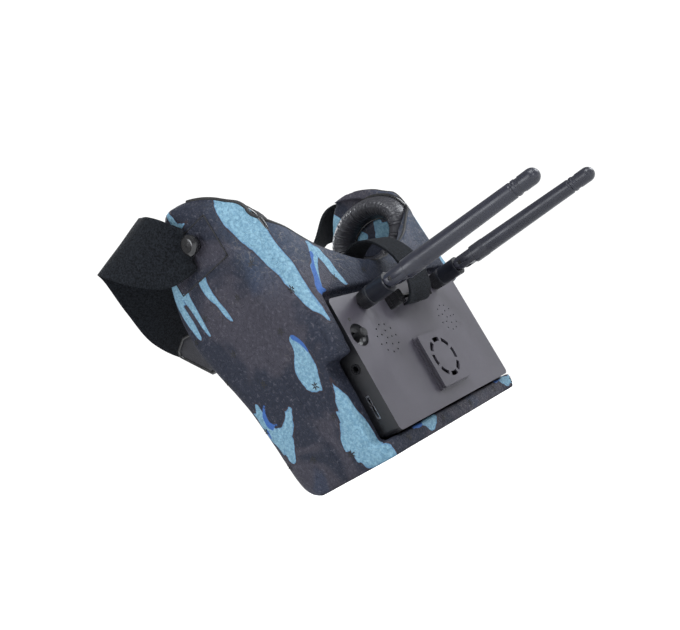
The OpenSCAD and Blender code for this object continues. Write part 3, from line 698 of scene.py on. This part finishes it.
def rim_line():
    """The line of the opening's edge: up the left wing, down to the brow and up the right."""
    wing = []
    for y, z in SIDE_CURVE:
        if z > 146 and y < 4:
            wing.append((y, z))
    left = [Vector((-(half_width(z) - WALL * 0.75), y, z)) for y, z in wing][::-1]
    brow = [Vector((x, -35.5, rim_height(x))) for x in range(-80, 81, 4)]
    joined = left + brow + [Vector((-p.x, p.y, p.z)) for p in reversed(left)]
    raised = raise_temples(np.array([list(p) for p in joined[::2]]))
    return [Vector(p) for p in catmull(raised.tolist(), 3)]


def make_rim(surface, material):
    """Black edging that caps the foam along the brow and the front of both wings."""
    line = [surface.find_nearest(p)[0] for p in rim_line()]
    line = [Vector(p) for p in catmull([list(p) for p in line[::3]], 4)]
    rim = tube("rim_edging", line, 1.1, material, sides=14)
    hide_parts("rim_trim")


def padded_bar(name, stations, material, node, power=3.0, crown=0.7):
    """A stuffed strip: stations are (centre, half depth axis, half height axis), ends pulled in."""
    about = 28
    count = len(stations)
    vertices = []
    for i, (centre, deep, tall) in enumerate(stations):
        t = i / (count - 1)
        end = min(t, 1 - t) * 2
        close = (1 - (1 - min(end / 0.12, 1)) ** 3) ** 0.5 if end < 0.12 else 1.0
        puff = 1 + 0.03 * noise.noise(Vector((i * 0.31, 2.0, 5.0)))
        for k in range(about):
            a = 2 * math.pi * k / about
            c, s = math.cos(a), math.sin(a)
            m = (abs(c) ** power + abs(s) ** power) ** (-1 / power)
            ripple = 1 - 0.035 * abs(ridge_noise(i * 0.9 + k * 0.2, 4.0))
            vertices.append(centre + (deep * c + tall * s) * m * max(close, 0.05) * puff * ripple)
    faces = grid_faces(count, about, False, True)
    faces.append(tuple(range(about))[::-1])
    faces.append(tuple(range((count - 1) * about, count * about)))
    item = add_object(name, vertices, faces, material)
    face_outwards(item)
    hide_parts(node)
    return item


def make_pads(leather, gloss):
    """Brow pad along the rim, and a pad each side of the nose."""
    brow = []
    for i in range(121):
        x = -56 + 112 * i / 120
        z = rim_height(x) - 9.2
        brow.append((Vector((x, -22.3, z)), Vector((0, 4.2, 0)), Vector((0, 0, 7.2))))
    padded_bar("brow_pad", brow, leather, "brow_pad")
    seam = [Vector((x, -18.0, rim_height(x) - 9.2)) for x in range(-54, 55, 2)]
    tube("brow_pad_seam", seam, 0.5, gloss, sides=8)
    for tag, side in SIDES.items():
        bar = []
        for i in range(61):
            x = side * (25.2 + 45.6 * i / 60)
            bar.append((Vector((x, 46.2, 99.8)), Vector((0, 4.5, 0)), Vector((0, 0, 6.3))))
        padded_bar(f"cheek_pad_{tag}", bar, leather, f"cheek_pad_{tag}")
        seam = [Vector((side * x, 50.6, 99.8)) for x in range(28, 70, 2)]
        tube(f"cheek_pad_{tag}_seam", seam, 0.5, gloss, sides=8)


FLAP = [[46, 112], [50, 96], [59, 96.5], [77.6, 118], [76.6, 121.5], [68, 126], [52, 123]]


def make_flap(tag, side, leather, gloss):
    """Leather flap behind a wing, stuffed thin and edged with piping."""
    x0 = side * 75.8
    outline = []
    for (y0, z0), (y1, z1) in zip(FLAP, FLAP[1:] + FLAP[:1]):
        for s in range(8):
            outline.append((y0 + (y1 - y0) * s / 8, z0 + (z1 - z0) * s / 8))
    middle = (61, 111)
    rings = 9
    vertices = []
    for face in (1, -1):
        for r in range(rings):
            t = 1 - r / rings
            puff = 1.6 * math.sqrt(max(1 - t ** 4, 0))
            for y, z in outline:
                vertices.append(Vector((x0 + face * side * puff, middle[0] + (y - middle[0]) * t * 0.97,
                                        middle[1] + (z - middle[1]) * t * 0.97)))
        vertices.append(Vector((x0 + face * side * 1.6, *middle)))
    n = len(outline)
    faces = []
    block = rings * n + 1
    for f in range(2):
        base = f * block
        faces += [tuple(base + i for i in q) for q in grid_faces(rings, n, False, True)]
        hub = base + rings * n
        faces += [(hub, base + (rings - 1) * n + k, base + (rings - 1) * n + (k + 1) % n)
                  for k in range(n)]
    faces += [(k, (k + 1) % n, block + (k + 1) % n, block + k) for k in range(n)]
    item = add_object(f"side_flap_{tag}", vertices, faces, leather)
    face_outwards(item, merge=True)
    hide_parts(f"side_flap_{tag}")
    edge = [Vector((x0, y, z)) for y, z in outline]
    tube(f"side_flap_{tag}_piping", edge, 1.25, gloss, closed=True)


# Steam vent marks of the mould: [y, z] on the sides and [x, z] on the front
SIDE_VENTS = [[0, 118], [30, 121], [24, 94], [16, 70], [-15, 53], [-15, 34], [13, 20], [35, 47],
              [33, 23], [42, 83], [-31, 23], [-12, 12], [46, 114], [-14, 88]]
FRONT_VENTS = [[-90, 128], [-84, 104], [-53, 103], [-22, 104], [14, 102], [52, 105], [84, 126],
               [82, 104], [-60, 5], [-22, 5], [14, 5], [50, 5], [78, 5]]


def make_vent_star_shade(surface, material):
    """Small stars left in the foam's skin by the mould's steam vents, drawn black: their dark colour is
    painted shade of the recessed slits.
    """
    starts = [(Vector((side * 130, y, z)), Vector((-side, 0, 0))) for y, z in SIDE_VENTS
              for side in SIDES.values()]
    starts += [(Vector((x, -80, z)), Vector((0, 1, 0))) for x, z in FRONT_VENTS]
    vertices, faces = [], []
    for start, along in starts:
        point, normal = surface.ray_cast(start, along)[:2]
        if point is None:
            continue
        first = normal.orthogonal().normalized()
        other = normal.cross(first)
        for spoke in range(6):
            angle = math.pi * spoke / 3 + random.uniform(-0.2, 0.2)
            out = first * math.cos(angle) + other * math.sin(angle)
            wide = normal.cross(out) * 0.36
            near, far = point + out * 0.45, point + out * random.uniform(1.9, 2.7)
            lift = normal * 0.14
            base = len(vertices)
            vertices += [near - wide + lift, far - wide * 0.7 + lift, far + wide * 0.7 + lift,
                         near + wide + lift]
            vertices += [v - normal * 0.8 for v in vertices[base:base + 4]]
            faces += [(base + a, base + b, base + c, base + d) for a, b, c, d in (
                (0, 1, 2, 3), (0, 4, 5, 1), (1, 5, 6, 2), (2, 6, 7, 3), (3, 7, 4, 0))]
    marks = add_object("vent_star_shade", vertices, faces, material, smooth=False)


def make_plate_gap_shade(material):
    """Painted shade in the gap round each strap anchor plate: a thin black tube along the plate's edge.
    """
    for tag, side in SIDES.items():
        line = []
        corners = [(ANCHOR_Y + a * ANCHOR_W / 2, ANCHOR_Z + b * ANCHOR_H / 2)
                   for a, b in ((-1, -1), (1, -1), (1, 1), (-1, 1))]
        for (y0, z0), (y1, z1) in zip(corners, corners[1:] + corners[:1]):
            for step in range(12):
                t = step / 12
                line.append(wing_place(side, y0 + (y1 - y0) * t, z0 + (z1 - z0) * t, -0.05)[0])
        tube(f"anchor_gap_shade_{tag}", line, 0.4, material, closed=True, sides=8)


def make_mould_lines(surface, material):
    """Fine parting lines where the mould's halves met on the sides."""
    for tag, side in SIDES.items():
        route = catmull([[-1, 4], [-1, 30], [0, 58], [5, 80], [12, 97]], 12)
        line = []
        for y, z in route:
            point = surface.ray_cast(Vector((side * 130, y, z)), Vector((-side, 0, 0)))[0]
            if point is not None:
                line.append(point)
        tube(f"mould_line_{tag}", line, 0.2, material, sides=6)


# ---------------------------------------------------------------- straps
STRAP_PATH = [
    [-95.4, 9.8, 156.5, -1.5, -6, 22], [-97.5, 15, 157.5, 0.8, -14, 26],
    [-104, 22, 161.5, 1, -22, 32], [-110.5, 30.5, 170, 11, -27, 28.5],
    [-112, 39, 178, 17.5, -31.5, 19.5], [-107.6, 48, 183.5, 19.5, -32, 16],
    [-99, 54.5, 179.5, 21.5, -31.5, 15], [-86, 64.5, 162, 22.5, -30.5, 16],
    [-68, 77, 144, 22, -28, 20], [-40, 86, 133, 12, -31, 24], [0, 90, 129, 0, -32, 25.6]]
TOP_STRAP_PATH = [[-15.8, 104], [-16.8, 114], [-23.5, 120.5], [-35, 123], [-46, 118], [-54, 105],
                  [-56, 92], [-54, 81], [-49, 74.6], [-44.5, 74.3]]


def band(name, stations, thickness, material, columns=16, ruffle=None):
    """A woven band over stations (centre, width vector), with a UV map in metres."""
    count = len(stations)
    vertices, lengths, run = [], [], 0.0
    for i, (centre, across) in enumerate(stations):
        if i:
            run += (centre - stations[i - 1][0]).length
        lengths.append(run)
        ahead = stations[min(i + 1, count - 1)][0] - stations[max(i - 1, 0)][0]
        normal = ahead.cross(across).normalized()
        for k in range(columns + 1):
            s = k / columns - 0.5
            lift = ruffle(i / (count - 1), s) if ruffle else 0
            vertices.append(centre + across * s + normal * lift)
    item = add_object(name, vertices, grid_faces(count, columns + 1), material)
    layer = item.data.uv_layers.new(name="UVMap")
    width = max(a.length for _, a in stations) * MM
    for loop in item.data.loops:
        i, k = divmod(loop.vertex_index, columns + 1)
        layer.data[loop.index].uv = (k / columns * width, lengths[i] * MM)
    solid = item.modifiers.new("thickness", "SOLIDIFY")
    solid.thickness = thickness * MM
    solid.offset = 0
    bevel = item.modifiers.new("edges", "BEVEL")
    bevel.width = thickness * 0.3 * MM
    bevel.segments = 2
    bevel.limit_method = "ANGLE"
    apply_modifiers(item)
    smooth_shade(item)
    return item, run


def make_head_strap(material):
    """Elastic head strap: gathered at both buttons, arched up and drooping behind."""
    half = STRAP_PATH
    full = half + [[-p[0], p[1], p[2], -p[3], p[4], p[5]] for p in reversed(half[:-1])]
    rows = catmull(full, 14)
    stations = [(Vector(r[:3]), Vector(r[3:])) for r in rows]

    def ruffle(t, s):
        near_end = max(0.0, 1 - min(t, 1 - t) / 0.1)
        return near_end * 0.9 * math.sin(s * 26) + 0.5 * noise.noise(Vector((t * 14, s * 2, 3)))

    strap, length = band("head_strap", stations, 1.5, material, 20, ruffle)
    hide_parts("head_strap")


def make_top_strap(material):
    """Top strap: over the brow rim, in an arch down to its bar on the module."""
    rows = catmull(TOP_STRAP_PATH, 10)
    stations = [(Vector((0, y, z)), Vector((25, 0, 0))) for y, z in rows]
    strap, length = band("top_strap", stations, 1.4, material, 16,
                         lambda t, s: 0.25 * noise.noise(Vector((t * 9, s * 2, 8))))
    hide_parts("top_strap")


# ---------------------------------------------------------------- finishes of the frame's nodes
def finish_node(node, material, bevel=0.0, angle=35):
    """Gives a CAD node its material and a small edge radius on edges sharper than an angle, with hardened
    normals.
    """
    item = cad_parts[node]
    item.data.materials.clear()
    item.data.materials.append(material)
    if bevel:
        weld = item.modifiers.new("weld", "WELD")
        weld.merge_threshold = 0.01 * MM
        edge = item.modifiers.new("edge", "BEVEL")
        edge.width = bevel * MM
        edge.segments = 3
        edge.limit_method = "ANGLE"
        edge.angle_limit = math.radians(angle)
        edge.use_clamp_overlap = True
        edge.harden_normals = True


def split_by_depth(node, material, depth):
    """Gives a second material to a node's faces that reach further in than a depth.

    Depth is measured inwards from the module face, so it is negative outside the module.
    """
    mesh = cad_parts[node].data
    mesh.materials.append(material)
    for polygon in mesh.polygons:
        if max(mesh.vertices[i].co.y for i in polygon.vertices) > (FACE_Y + depth) * MM:
            polygon.material_index = 1


def make_all():
    foam = camo_foam()
    plain_foam = camo_foam("plain_foam", False)
    leather = black_leather()
    gloss = moulded_plastic("gloss_black", (0.01, 0.01, 0.011), 0.22, 900.0, 0.00001, 0.2, 0.3)
    rubber = moulded_plastic("black_rubber", (0.006, 0.006, 0.007), 0.6, 1400.0, 0.00003)
    black = moulded_plastic("black_plastic", (0.007, 0.007, 0.009), 0.42)
    shell = moulded_plastic("module_shell", (0.052, 0.048, 0.060), 0.36, 3200.0, 0.000004, 0.06,
                            0.12)
    aerial = moulded_plastic("antenna_black", (0.014, 0.015, 0.024), 0.36, 2600.0, 0.000002, 0.12)
    sleeve = moulded_plastic("sleeve_black", (0.006, 0.007, 0.011), 0.34, 2600.0, 0.000002, 0.2)
    steel = brushed_metal("bright_steel", (0.6, 0.6, 0.62), 0.25)
    foil = brushed_metal("cell_foil", (0.5, 0.5, 0.52), 0.4)
    board = moulded_plastic("circuit_board", (0.01, 0.09, 0.04), 0.35)
    card = moulded_plastic("backing_board", (0.05, 0.05, 0.05), 0.9)
    dark_steel = brushed_metal("dark_steel", (0.08, 0.08, 0.09), 0.4)
    light = moulded_plastic("light_pipe", (0.06, 0.06, 0.06), 0.2)
    webbing = elastic_webbing("black_webbing")
    mirror = new_material("mirror", (0.92, 0.93, 0.94), 0.03, Metallic=1.0)[0]
    lens = new_material("clear_lens", (0.92, 0.95, 0.96), 0.06, Transmission_Weight=0.9, IOR=1.49)[0]
    screen = new_material("screen_glass", (0.01, 0.012, 0.02), 0.08, Coat_Weight=0.5)[0]

    surface = surface_of(make_shell(foam))
    make_rim(surface, rubber)
    # Vent stars, drawn black as painted shade of their slits
    make_vent_star_shade(surface, rubber)
    make_mould_lines(surface, plain_foam)
    # Painted shade in the gaps round the strap anchor plates
    make_plate_gap_shade(rubber)
    make_pads(leather, gloss)
    for tag, side in SIDES.items():
        make_ear_cushion(f"ear_cushion_{tag}", side, leather, gloss)
        make_flap(tag, side, leather, gloss)
    make_head_strap(webbing)
    make_top_strap(webbing)

    plain = {"mirror_glass": (mirror, 0), "mirror_backing": (card, 0), "fresnel_lens": (lens, 0),
             "lens_frame": (black, 0.4), "strap_bar": (gloss, 0.5), "front_cover": (shell, 0.35),
             "rear_frame": (black, 0.3), "lcd_panel": (screen, 0), "main_board": (board, 0),
             "battery_cell": (foil, 0.4), "fan_cover": (shell, 0.3), "fan_frame": (black, 0.2),
             "fan_rotor": (black, 0.1), "stick_base": (black, 0.2), "stick_gimbal": (dark_steel, 0.1),
             "stick_stem": (dark_steel, 0.1), "stick_cap": (rubber, 0.2), "audio_jack": (gloss, 0.2),
             "card_slot": (steel, 0), "indicator_light": (light, 0.1), "module_screws": (steel, 0.1)}
    for node, (material, edge) in plain.items():
        finish_node(node, material, edge)
    split_by_depth("front_cover", black, 0.1)
    for tag in SIDES:
        split_by_depth(f"antenna_whip_{tag}", sleeve, -SLEEVE_END)
    for tag in SIDES:
        pairs = {"wing_insert": (plain_foam, 0.4), "strap_button": (gloss, 0.3),
                 "receiver_can": (steel, 0.2), "speaker": (black, 0.2),
                 "antenna_socket": (black, 0.1), "antenna_nut": (black, 0.15),
                 "antenna_barrel": (sleeve, 0.2), "antenna_pin": (gloss, 0.15),
                 "antenna_whip": (aerial, 0.15), "antenna_cap": (aerial, 0)}
        for node, (material, edge) in pairs.items():
            finish_node(f"{node}_{tag}", material, edge)


make_all()
